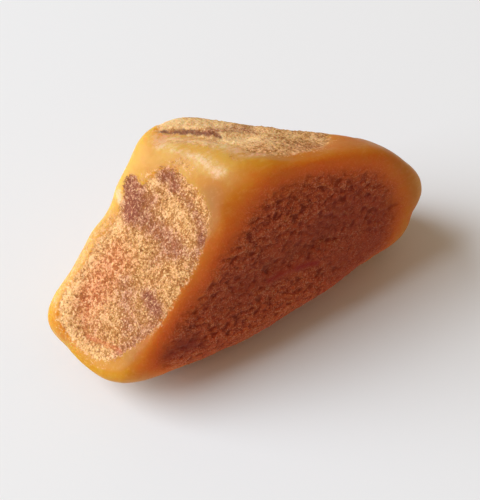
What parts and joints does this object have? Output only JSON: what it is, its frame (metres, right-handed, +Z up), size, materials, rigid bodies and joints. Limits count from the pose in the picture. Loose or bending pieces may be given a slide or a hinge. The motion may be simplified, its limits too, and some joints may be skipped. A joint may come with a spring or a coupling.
{
  "type": "raw amber piece",
  "caption": "Rough sea-worn lump of cloudy amber with flat faces, rounded edges and weathered crust in the hollows, lying on a flat side.",
  "frame": {"origin": "on the surface that the lump lies on, under the middle of its box", "axes": "+Z up, +X along the lump's length towards its blunt end; the tapered nose is at -X"},
  "size_m": [0.0616, 0.0322, 0.032],
  "materials": {
    "amber": "waxy, cloudy honey amber on the worn edges; dull grainy crust, gold and mauve on one face and dark red-brown on the others"
  },
  "bodies": {
    "root": {"amber_lump": "amber"}
  },
  "joints": []
}
